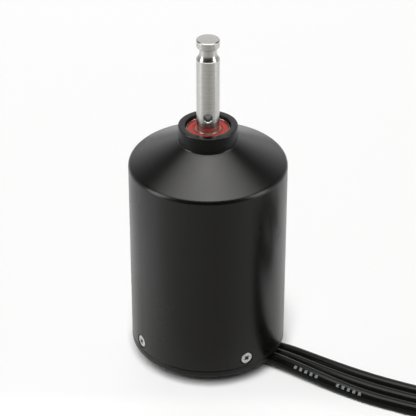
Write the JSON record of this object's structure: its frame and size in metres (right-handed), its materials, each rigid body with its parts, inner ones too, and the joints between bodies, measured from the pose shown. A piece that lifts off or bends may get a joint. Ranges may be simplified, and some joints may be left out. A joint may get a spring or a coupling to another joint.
{
  "type": "waterproof brushless motor",
  "caption": "Waterproof inrunner brushless motor: sealed black can with a tapered nose, a cross-drilled steel shaft with a necked end, and silicone phase leads with bullet plugs.",
  "frame": {"origin": "centre of the mounting pad's lower face, on the shaft axis", "axes": "+Z along the shaft towards its free end, -Y towards the picture's camera, leads leave towards +X"},
  "size_m": [0.1056, 0.0652, 0.0811],
  "materials": {
    "anodised_black": "satin black anodised",
    "black_rubber": "matt",
    "screw_steel": "bright stainless",
    "bearing_steel": "ground",
    "brass": "turned",
    "red_rubber": "satin red",
    "polished_steel": "polished",
    "electrical_steel": "laminated sheet",
    "nickel_magnet": "nickel plated",
    "carbon_sleeve": "wound carbon fibre",
    "insulator_nylon": "moulded",
    "enamelled_copper": "enamelled wire",
    "potting_resin": "cast resin",
    "lead_silicone": "satin silicone",
    "gold_plate": "gold plated",
    "heat_shrink": "satin"
  },
  "bodies": {
    "case": {"housing": "anodised_black", "rear_cover": "anodised_black", "cover_o_ring": "black_rubber", "shaft_lip_seal": "black_rubber", "coil_tie": "black_rubber", "cover_screw_1": "screw_steel", "cover_screw_2": "screw_steel", "cover_screw_3": "screw_steel", "cover_screw_4": "screw_steel", "front_bearing_outer_ring": "bearing_steel", "rear_bearing_outer_ring": "bearing_steel", "preload_wave_washer": "bearing_steel", "front_bearing_rear_seal": "red_rubber", "front_bearing_front_seal": "red_rubber", "rear_bearing_rear_seal": "red_rubber", "rear_bearing_front_seal": "red_rubber", "stator_stack": "electrical_steel", "rear_end_insulator": "insulator_nylon", "front_end_insulator": "insulator_nylon", "winding_1": "enamelled_copper", "winding_2": "enamelled_copper", "winding_3": "enamelled_copper", "winding_4": "enamelled_copper", "winding_5": "enamelled_copper", "winding_6": "enamelled_copper", "cable_outlet_potting": "potting_resin", "phase_lead_a": "lead_silicone", "phase_lead_b": "lead_silicone", "phase_lead_c": "lead_silicone", "lead_coil": "lead_silicone", "phase_lead_a_tail": "lead_silicone", "phase_lead_b_tail": "lead_silicone", "phase_lead_c_tail": "lead_silicone", "bullet_plug_a": "gold_plate", "bullet_plug_b": "gold_plate", "bullet_plug_c": "gold_plate", "heat_shrink_a": "heat_shrink", "heat_shrink_b": "heat_shrink", "heat_shrink_c": "heat_shrink"},
    "rotor": {"shaft": "polished_steel", "rotor_core": "electrical_steel", "rotor_magnet_1": "nickel_magnet", "rotor_magnet_2": "nickel_magnet", "rotor_magnet_3": "nickel_magnet", "rotor_magnet_4": "nickel_magnet", "magnet_sleeve": "carbon_sleeve", "rear_balance_ring": "brass", "front_balance_ring": "brass", "shaft_spacer": "bearing_steel", "rotor_circlip": "bearing_steel", "front_bearing_inner_ring": "bearing_steel", "rear_bearing_inner_ring": "bearing_steel"},
    "front_balls": {"front_bearing_ball_set": "brass"},
    "rear_balls": {"rear_bearing_ball_set": "brass"}
  },
  "joints": [
    {"name": "shaft_spin", "type": "hinge", "parent": "case", "child": "rotor", "pos_m": [0, 0, 0], "axis": [0, 0, 1], "continuous": true},
    {"name": "front_balls_spin", "type": "hinge", "parent": "case", "child": "front_balls", "pos_m": [0, 0, 0], "axis": [0, 0, 1], "continuous": true},
    {"name": "rear_balls_spin", "type": "hinge", "parent": "case", "child": "rear_balls", "pos_m": [0, 0, 0], "axis": [0, 0, 1], "continuous": true}
  ],
  "couplings": [
    {"joint": "front_balls_spin", "follows": "shaft_spin", "ratio": 0.42},
    {"joint": "rear_balls_spin", "follows": "shaft_spin", "ratio": 0.42}
  ]
}
